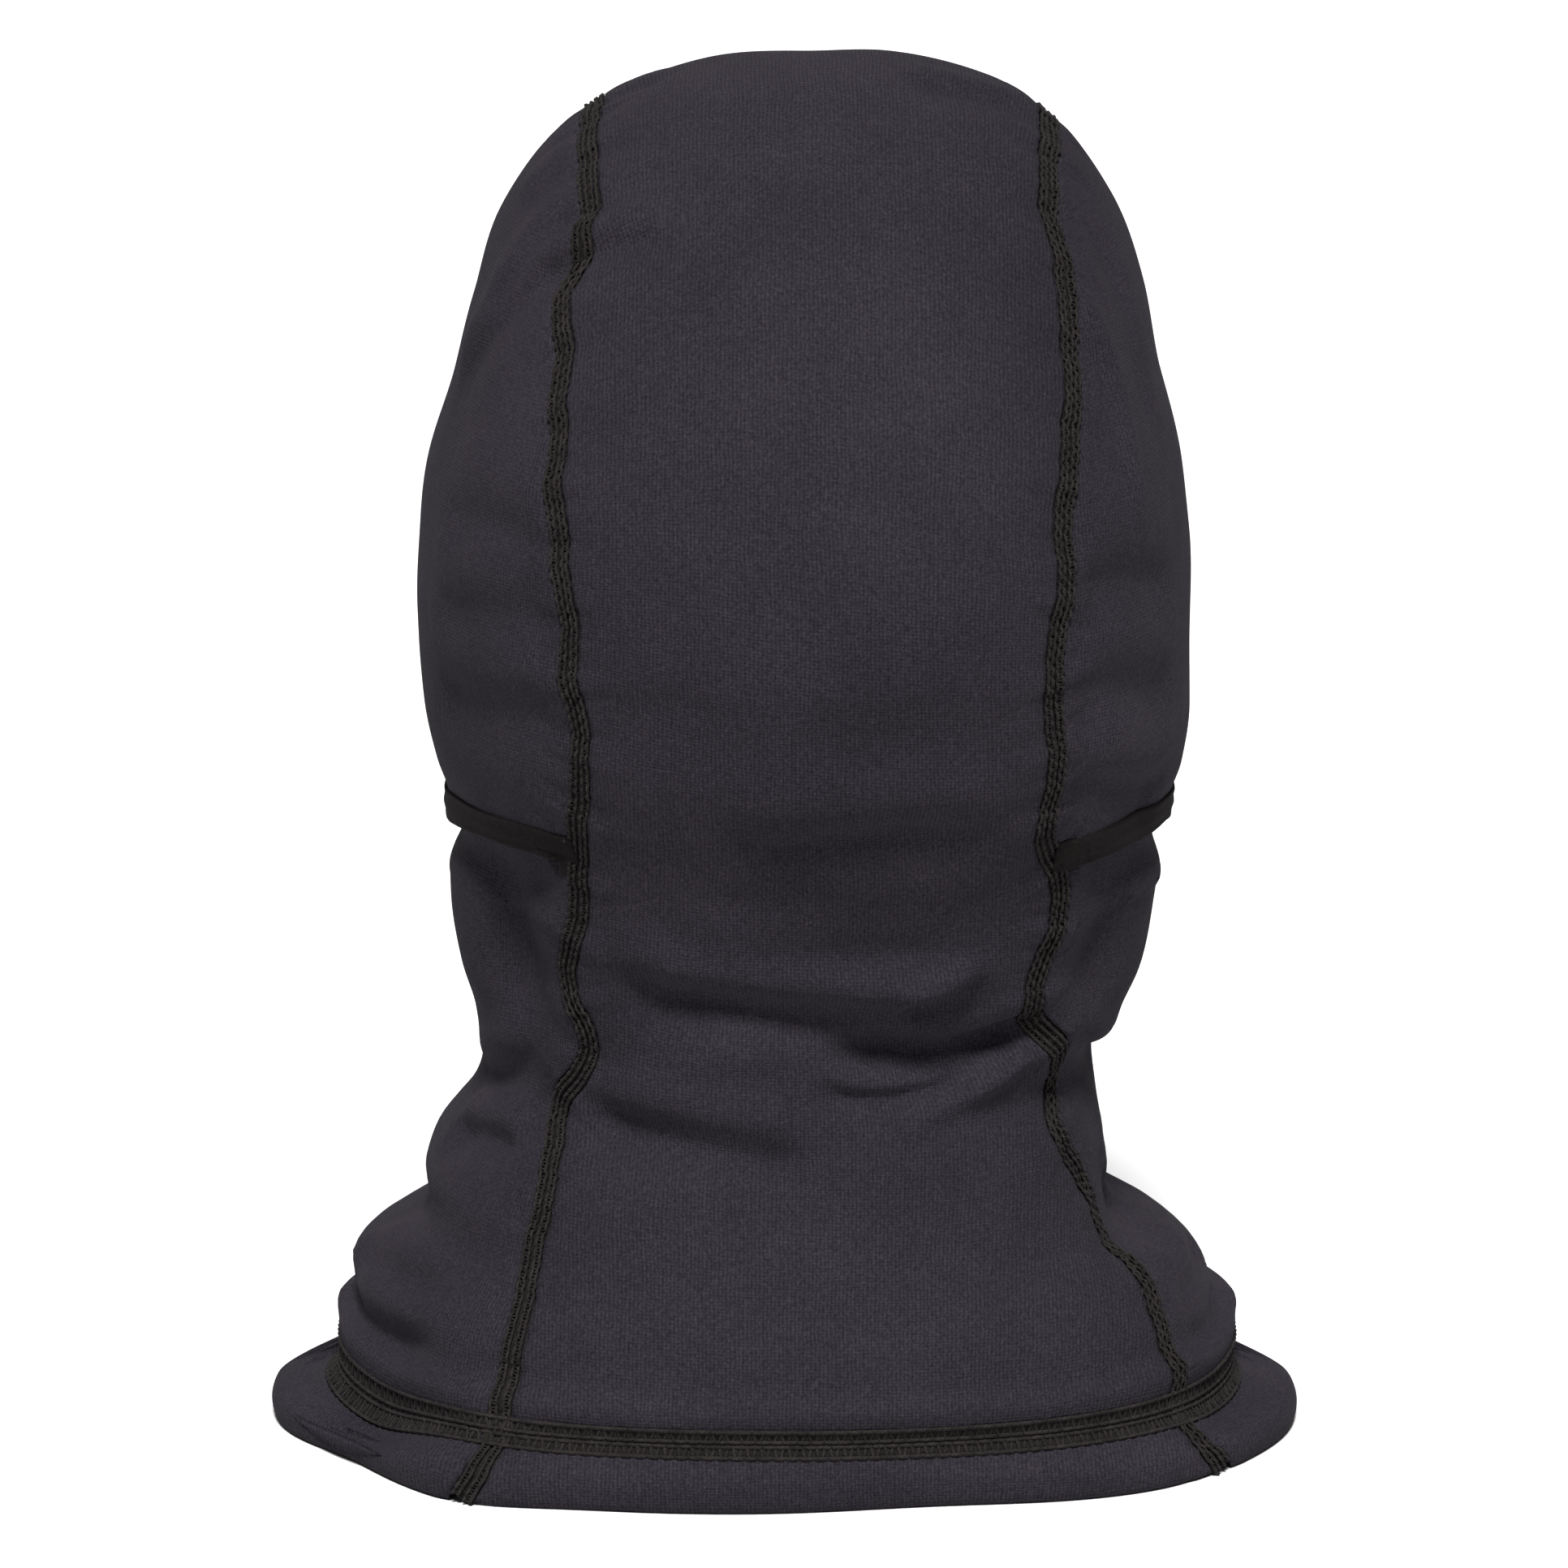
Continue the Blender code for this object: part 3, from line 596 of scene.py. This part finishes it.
def thread_material(name, dark, light, pitch=0.0009):
    """Matte spun thread with its twist."""
    material, tree, shader = nodes_of(name, 0.8, 0.03)
    uv = add(tree, "ShaderNodeUVMap", uv_map="cloth").outputs["UV"]
    place = tree.nodes.new("ShaderNodeTexCoord").outputs["Object"]
    split = tree.nodes.new("ShaderNodeSeparateXYZ")
    tree.links.new(uv, split.inputs[0])
    slant = maths(tree, "ADD", split.outputs["Y"], maths(tree, "MULTIPLY", split.outputs["X"], 1.4))
    twist = maths(tree, "SINE", maths(tree, "MULTIPLY", slant, 2 * math.pi / pitch))
    fuzz = noise(tree, place, 2200.0, 2.0, 0.7)
    height = maths(tree, "ADD", maths(tree, "MULTIPLY", twist, 0.35), fuzz)
    bump(tree, shader, height, 0.00012)
    broad = noise(tree, place, 300.0)
    tone = maths(tree, "ADD", maths(tree, "MULTIPLY", fuzz, 0.6), maths(tree, "MULTIPLY", broad, 0.4))
    tree.links.new(ramp(tree, tone, (0.35, dark), (0.65, light)), shader.inputs["Base Color"])
    return material


knit = knit_material("charcoal_knit", (0.0085, 0.0072, 0.0096), (0.0188, 0.0163, 0.0212),
                     (0.0370, 0.0322, 0.0400))
groove = knit_material("seam_allowance", (0.0070, 0.0060, 0.0058), (0.0120, 0.0106, 0.0102),
                       (0.0190, 0.0170, 0.0165), 0.0007, 0.0006, 0.00012)
thread = thread_material("seam_thread_black", (0.0095, 0.0085, 0.0080), (0.0260, 0.0234, 0.0220))
tape = knit_material("edge_tape_black", (0.0042, 0.0034, 0.0033), (0.0074, 0.0060, 0.0060),
                     (0.0125, 0.0104, 0.0104), 0.0008, 0.0008, 0.00016)

# Panels --------------------------------------------------------------------------------------------
panel_edge = half_seam - 0.0002        # the panels end just within the width of the seam
# The turned-in layer from the stitches down to the floor: level and depth under the skin
HEM_UNDER = ((STITCH_HIGH, HEM_LAYER), (0.0178, HEM_LAYER + 0.0001), (0.0166, HEM_LAYER + 0.0002),
             (0.0154, HEM_LAYER + 0.0003), (0.0142, HEM_LAYER + 0.0004), (0.0131, HEM_LAYER + 0.0005),
             (0.012, HEM_LAYER + 0.0006), (0.0103, HEM_LAYER + 0.0008), (0.0086, HEM_LAYER + 0.0010),
             (0.0068, HEM_LAYER + 0.0011), (0.005, HEM_LAYER + 0.0012), (0.0020, HEM_LAYER + 0.0010),
             (0.0006, HEM_LAYER), (0.0, 0.0024))


def panel_uv(points, straight=False):
    """Flat coordinates in metres: across the wales, and up along them."""
    u = points[..., 0] if straight else np.unwrap(address(points)[0], axis=-1) * MEAN_RADIUS
    rise = np.linalg.norm(np.diff(points, axis=0), axis=-1).mean(axis=1)
    v = np.concatenate(([0], np.cumsum(rise)))[:, None] + np.zeros(points.shape[1])
    return np.stack((u, v), -1)


def with_hem(points, outside, uv):
    """Adds the hem's rounded lower edge and the layer turned up inside it to finished rows."""
    turn, station = address(points)
    normal = unit(outward(points) * (1, 1, 0))
    corner_height, corner_depth = 2.6, 0.0012      # in mm of level, and in metres
    corner = np.sqrt(1 - np.clip(1 - station / corner_height, 0, 1) ** 2)
    outside = outside - normal * (corner_depth * (1 - corner))[..., None]
    outside[0, :, 2] = 0.0
    outside[..., 2] = np.maximum(outside[..., 2], 0.0)
    under = []
    for level, depth in HEM_UNDER:
        ring = skin(turn[0], level * 1000)
        under.append(ring + outward(ring) * (relief(ring) - depth)[:, None] - FOOTPRINT_MIDDLE)
    under = np.array(under)
    under[..., 2] = np.maximum(under[..., 2], 0.0004)
    under_uv = np.repeat(uv[:1], len(under), axis=0)
    under_uv[..., 1] -= np.array([level for level, _ in HEM_UNDER])[:, None] + 0.002
    return np.concatenate((under, outside)), np.concatenate((under_uv, uv))


CENTRE_COLUMNS, SIDE_COLUMNS = 84, 92
first, last = seam_side(seam_left, -panel_edge), seam_side(seam_right, panel_edge)
brow_from, brow_to = nearest(edge_inner, first[-1]), nearest(edge_inner, last[-1])
brow = spline(edge_inner[brow_from:brow_to + 1], CENTRE_COLUMNS)
first[-1], last[-1] = brow[0], brow[-1]
hem_turns = np.linspace(address(first[0])[0], address(last[0])[0], CENTRE_COLUMNS)
centre = laid(patch(first, last, skin(hem_turns, 0.0), brow, CENTRE_COLUMNS))
centre[0, :, 2] = 0.0
centre_panel = cloth("centre_back_panel_knit", *with_hem(centre, dressed(centre), panel_uv(centre, True)))


def hood_side(name, line, sign):
    """The panel between a back seam and the hood's free edge; the sign is 1 on the left, -1 on the right."""
    seam_edge = seam_side(line, sign * panel_edge)
    seam_edge = seam_edge[int(np.argmax(seam_edge[:, 2] > JUNCTION)):]
    free_edge = edge_inner if sign > 0 else edge_inner[::-1]
    free_edge = spline(free_edge[2:nearest(free_edge, seam_edge[-1])], len(seam_edge))
    share = np.linspace(0, 1, SIDE_COLUMNS)[:, None]
    side = laid(patch(seam_edge, free_edge, seam_edge[0] * (1 - share) + free_edge[0] * share,
                      seam_edge[-1] * (1 - share) + free_edge[-1] * share, SIDE_COLUMNS))
    uv = np.stack((np.unwrap(address(side)[0], axis=-1) * MEAN_RADIUS, side[..., 2]), -1)
    return cloth(f"hood_side_{name}_knit", dressed(side), uv)


hood_sides = {"left": hood_side("left", seam_left, 1), "right": hood_side("right", seam_right, -1)}


# Neck wrap and mask, one stretch of knit from the hem to the mask's top edge ----------------------
def top_station(turn):
    """Station of the mask's top edge by angle from the back, hidden under the hood at the rear."""
    line = spline(MASK_TOP, 41)
    turns = np.concatenate(([0.0, 0.62], np.arctan2(line[:, 0], line[:, 1])))
    turns[-1] = math.pi
    return np.interp(np.minimum(turn, 2 * math.pi - turn), turns, np.concatenate(([155, 157], line[:, 2])))


def wrap_skin(turn, station, seams_apart):
    """Points of the wrap: flush with the panels at the back seams, inside the hood's edge elsewhere."""
    tucked = np.maximum(step(0.0, 0.17, seams_apart), step(139, 147, station))[..., None]
    return skin(turn, station) * (1 - tucked) + skin(turn, station, inside=True) * tucked


WRAP_COLUMNS = 330
WRAP_TOP, WRAP_FINE, WRAP_LEVEL = 160.0, 24, 20    # in mm: the top row, and where close and level rows end
levels = np.concatenate((np.linspace(0, WRAP_FINE, 41)[:-1], np.linspace(WRAP_FINE, WRAP_TOP, 92)))
left_edge, right_edge = seam_side(seam_left, panel_edge), seam_side(seam_right, -panel_edge)
wrap_rows, wrap_addresses = [], []
for level in levels:
    ends = seam_at(left_edge, level / 1000), seam_at(right_edge, level / 1000)
    start_turn, end_turn = address(ends[0])[0], address(ends[1])[0] + 2 * math.pi
    turns = np.linspace(start_turn, end_turn, WRAP_COLUMNS)
    rise = np.maximum(level - WRAP_LEVEL, 0) / (WRAP_TOP - WRAP_LEVEL)
    stations = level + rise * (top_station(turns) - WRAP_TOP)
    wrap_rows.append(wrap_skin(turns, stations, np.minimum(turns - start_turn, end_turn - turns)))
    wrap_addresses.append(np.stack((turns, stations), -1))
wrap = np.array(wrap_rows)
wrap_addresses = np.array(wrap_addresses)
wrap_uv = wrap_addresses * (MEAN_RADIUS, 0.001)
neck_and_mask = cloth("neck_wrap_and_mask_knit", *with_hem(wrap, dressed(wrap, True), wrap_uv))


# Tapes folded over the free edges --------------------------------------------------------------------
def folded_tape(name, line, width, thickness, inside=False, lift=0.0):
    """A soft tape along a line on the skin: rounded section, fuller at its middle and long edges."""
    angles = np.linspace(0, 2 * math.pi, 20, endpoint=False)
    across = np.sign(np.cos(angles)) * np.abs(np.cos(angles)) ** 0.6 * width / 2
    height = np.sign(np.sin(angles)) * np.abs(np.sin(angles)) ** 0.55 * thickness / 2
    height *= 1 + 0.16 * np.cos(across / width * 4 * math.pi)
    normal = outward(line, inside)
    aside = unit(np.cross(normal, np.gradient(line, axis=0)))
    ring = laid(line[:, None] + aside[:, None] * across[None, :, None], inside)
    points = (ring + outward(ring, inside) * (relief(ring, inside) + lift + height[None])[..., None]
              - FOOTPRINT_MIDDLE)
    reach = distances(line)
    uv = np.stack(np.broadcast_arrays(reach[:, None], across[None]), -1)
    made = mesh_object(name, points.reshape(-1, 3), grid_faces(len(line), len(angles), closed=True),
                       uv.reshape(-1, 2), tape)
    cap_ends(made, len(line), len(angles))
    return made


def cap_ends(made, rings, sides):
    """Closes the two ends of a tube."""
    shape = bmesh.new()
    shape.from_mesh(made.data)
    shape.verts.ensure_lookup_table()
    shape.faces.new(shape.verts[:sides])
    shape.faces.new(shape.verts[(rings - 1) * sides:][::-1])
    bmesh.ops.recalc_face_normals(shape, faces=shape.faces)
    shape.to_mesh(made.data)
    shape.free()
    made.data.shade_smooth()


hood_tape = folded_tape("hood_edge_tape", spline(hood_edge[1:-1], 520), BINDING_WIDTH, 0.0021)
mask_end = math.atan2(MASK_TOP[0][0], MASK_TOP[0][1])
mask_turns = np.linspace(mask_end, 2 * math.pi - mask_end, 330)
mask_middle = skin(mask_turns, top_station(mask_turns) - BINDING_WIDTH * 500, inside=True)
mask_tape = folded_tape("mask_edge_tape", mask_middle, BINDING_WIDTH + 0.0006, 0.0028,
                        inside=True, lift=-0.0006)


# Stitching ---------------------------------------------------------------------------------------
def thread_path(middle, sideways, lifts):
    """A thread beside a seam line, as finished points and the normals there."""
    aside = unit(np.cross(outward(middle), np.gradient(middle, axis=0)))
    place = laid(middle + aside * sideways[:, None])
    normal = outward(place)
    return place + normal * (relief(place) + lifts)[:, None] - FOOTPRINT_MIDDLE, normal


def threads(name, paths, radius, sides=5, flat=0.8):
    """One piece of thread along several paths, a little flattened."""
    verts, faces, uv = tube_rows(paths, radius, sides, flat)
    return mesh_object(name, verts, faces, uv, thread)


STITCH, ZIGZAG = 0.0025, 0.0016        # length of a needle stitch and of a looper's turn
ROWS = (-0.0022, -0.0008, 0.0008, 0.0022)
NEEDLE_THREAD, LOOPER_THREAD = 0.00042, 0.00022    # radii
# The looper threads: their two edges beside the seam's middle, and their lead in turns
LOOPERS = ((-0.0026, -0.0003, 0.0), (0.0003, 0.0026, 0.5))


def back_seam(name, line):
    """The allowance strip, needle threads and looper threads of one back seam."""
    under_tape = line[-1] + (line[-1] - line[-2]) * 2.2
    long_line = spline(np.vstack((line[1:], under_tape)), 1150)
    long_line[:, 2] = np.maximum(long_line[:, 2], 0.0008)
    reach = distances(long_line)
    across = np.linspace(-half_seam - 0.003, half_seam + 0.003, 17)
    aside = unit(np.cross(outward(long_line), np.gradient(long_line, axis=0)))
    strip = laid(long_line[::3, None] + aside[::3, None] * across[None, :, None])
    sag = -0.00030 - 0.0005 * (np.abs(across) > 0.0028) - 0.0005 * (np.abs(across) > 0.0032)
    sunk = strip + outward(strip) * (relief(strip) + sag[None])[..., None] - FOOTPRINT_MIDDLE
    sunk[..., 2] = np.maximum(sunk[..., 2], 0.0002)
    uv = np.stack(np.broadcast_arrays(across[None], reach[::3, None]), -1)
    base = cloth(f"back_seam_{name}_allowance", sunk, uv, material=groove)
    paths = []
    for number, row in enumerate(ROWS):
        phase = reach / STITCH + 0.5 * (number % 2)
        dip = np.abs(np.sin(math.pi * phase)) ** 0.6
        wander = 0.00012 * np.sin(reach * 2 * math.pi / 0.031 + number)
        paths.append(thread_path(long_line, row + wander, -0.00020 + 0.00062 * dip))
    rows = threads(f"back_seam_{name}_needle_threads", paths, NEEDLE_THREAD)
    zigzag = []
    for low, high, lead in LOOPERS:
        beat = 2 * np.abs(np.mod(reach / ZIGZAG + lead, 1) - 0.5)
        zigzag.append(thread_path(long_line, low + (high - low) * beat, np.full(len(reach), 0.00012)))
    looper = threads(f"back_seam_{name}_looper_threads", zigzag, LOOPER_THREAD, 4)
    return base, rows, looper


seam_pieces = {"left": back_seam("left", seam_left), "right": back_seam("right", seam_right)}


def round_hem(station, lifts):
    """A closed line round the hem over every panel, as finished points and normals."""
    turn = np.linspace(0, 2 * math.pi, len(lifts))
    place = skin(turn, station)
    normal = outward(place)
    return place + normal * (relief(place) + lifts)[:, None] - FOOTPRINT_MIDDLE, normal


RUNG = 0.0031              # spacing of the coverstitch's rungs
HEM_SAMPLES = 2400
HEM_NEEDLE, HEM_LOOPER = 0.00048, 0.00040      # thread radii
# Offsets in mm from the band's middle, and leads in rungs
HEM_ROWS = ((-2.9, 0.0), (-0.55, 0.3), (0.55, 0.8), (2.9, 0.5))
HEM_RUNGS = ((-2.9, -0.5, 0.0), (0.5, 2.9, 0.5))
hem_line = skin(np.linspace(0, 2 * math.pi, HEM_SAMPLES), STITCH_LOW * 1000)
hem_reach = distances(hem_line)
hem_reach *= round(hem_reach[-1] / RUNG) * RUNG / hem_reach[-1]
hem_middle = (STITCH_LOW + STITCH_HIGH) * 500
paths = []
for offset, lead in HEM_ROWS:
    dip = np.abs(np.sin(math.pi * (hem_reach / RUNG + lead))) ** 0.5
    paths.append(round_hem(hem_middle + offset + 0.1 * np.sin(hem_reach * 70), -0.00010 + 0.00068 * dip))
hem_rows = threads("hem_coverstitch_needle_threads", paths, HEM_NEEDLE)
rungs = []
for low, high, lead in HEM_RUNGS:
    beat = 2 * np.abs(np.mod(hem_reach / RUNG + lead, 1) - 0.5)
    station = hem_middle + low + (high - low) * np.clip(beat * 3.4 - 1.2, 0, 1)
    rungs.append(round_hem(station, np.full(HEM_SAMPLES, 0.00022)))
hem_looper = threads("hem_coverstitch_looper_threads", rungs, HEM_LOOPER)
band_turns = np.linspace(0, 2 * math.pi, 480)
band_levels = np.linspace(STITCH_LOW * 1000 - 0.2, STITCH_HIGH * 1000 + 0.2, 7)
band = skin(band_turns[None], band_levels[:, None])
band_lift = np.array((-0.0004, 0.0002, 0.0002, 0.0003, 0.0002, 0.0002, -0.0004))
hem_band_points = band + outward(band) * (relief(band) + band_lift[:, None])[..., None] - FOOTPRINT_MIDDLE
hem_band = cloth("hem_coverstitch_band", hem_band_points,
                 np.stack(np.broadcast_arrays(band_turns[None] * 0.1, band_levels[:, None] / 1000), -1),
                 thickness=0.0006, material=groove)

# Pieces that ride on the hood's body, the wrap and its tape baked where they stand, and the CAD solids they
# replace hidden -------------
on_hood = [centre_panel, *hood_sides.values(), hood_tape, hem_rows, hem_looper, hem_band]
for pieces in seam_pieces.values():
    on_hood.extend(pieces)
for piece in on_hood:
    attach(piece, "hood")
for piece in (neck_and_mask, mask_tape):
    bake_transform(piece)
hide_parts("centre_back_panel")
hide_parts("hood_side_left")
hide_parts("hood_side_right")
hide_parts("neck_wrap", "mask_panel")
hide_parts("hood_edge_binding")
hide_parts("mask_edge_binding")
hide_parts("back_seam_left")
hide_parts("back_seam_right")
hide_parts("hem_coverstitch")

# Floor, light and camera ---------------------------------------------------------------------------
bpy.ops.mesh.primitive_circle_add(vertices=96, radius=9, fill_type="NGON", location=(0, 0, -0.0002))
floor = bpy.context.object
floor.name = "studio_floor"
pale, tree, shader = nodes_of("pale_floor", 0.9, 0.0)
cloudy = noise(tree, tree.nodes.new("ShaderNodeTexCoord").outputs["Object"], 1.5)
floor_tone = ramp(tree, cloudy, (0.3, (0.78, 0.78, 0.78)), (0.7, (0.80, 0.80, 0.80)))
tree.links.new(floor_tone, shader.inputs["Base Color"])
floor.data.materials.append(pale)

scene = bpy.context.scene
scene.view_settings.view_transform = "Standard"
world = bpy.data.worlds.new("soft_studio")
world.use_nodes = True
world.node_tree.nodes["Background"].inputs["Color"].default_value = (1.0, 1.0, 1.0, 1.0)
world.node_tree.nodes["Background"].inputs["Strength"].default_value = 0.10
scene.world = world
# Suns: name, azimuth from the back and elevation in degrees, energy, angular size in degrees
SUNS = (("key", 0, 56, 6.0, 14), ("front", 175, 28, 1.0, 30))
for name, azimuth, elevation, energy, spread in SUNS:
    sun = bpy.data.lights.new(name, "SUN")
    sun.energy, sun.angle = energy, math.radians(spread)
    lamp = bpy.data.objects.new(name, sun)
    a, e = math.radians(azimuth), math.radians(elevation)
    towards = Vector((math.sin(a) * math.cos(e), math.cos(a) * math.cos(e), math.sin(e)))
    lamp.rotation_euler = towards.to_track_quat("Z", "Y").to_euler()
    lamp.location = towards * 2
    scene.collection.objects.link(lamp)

CAMERA_DISTANCE, CAMERA_ELEVATION = 1.8, 14    # metres and degrees
camera = bpy.data.objects.new("camera", bpy.data.cameras.new("camera"))
scene.collection.objects.link(camera)
target = Vector((0, 0.0042, 0.147))
tilt = math.radians(CAMERA_ELEVATION)
camera.location = target + Vector((0, math.cos(tilt), math.sin(tilt))) * CAMERA_DISTANCE
camera.rotation_euler = (camera.location - target).to_track_quat("Z", "Y").to_euler()
camera.data.lens, camera.data.sensor_width = 181.3, 36
camera.data.clip_end = 50
scene.camera = camera
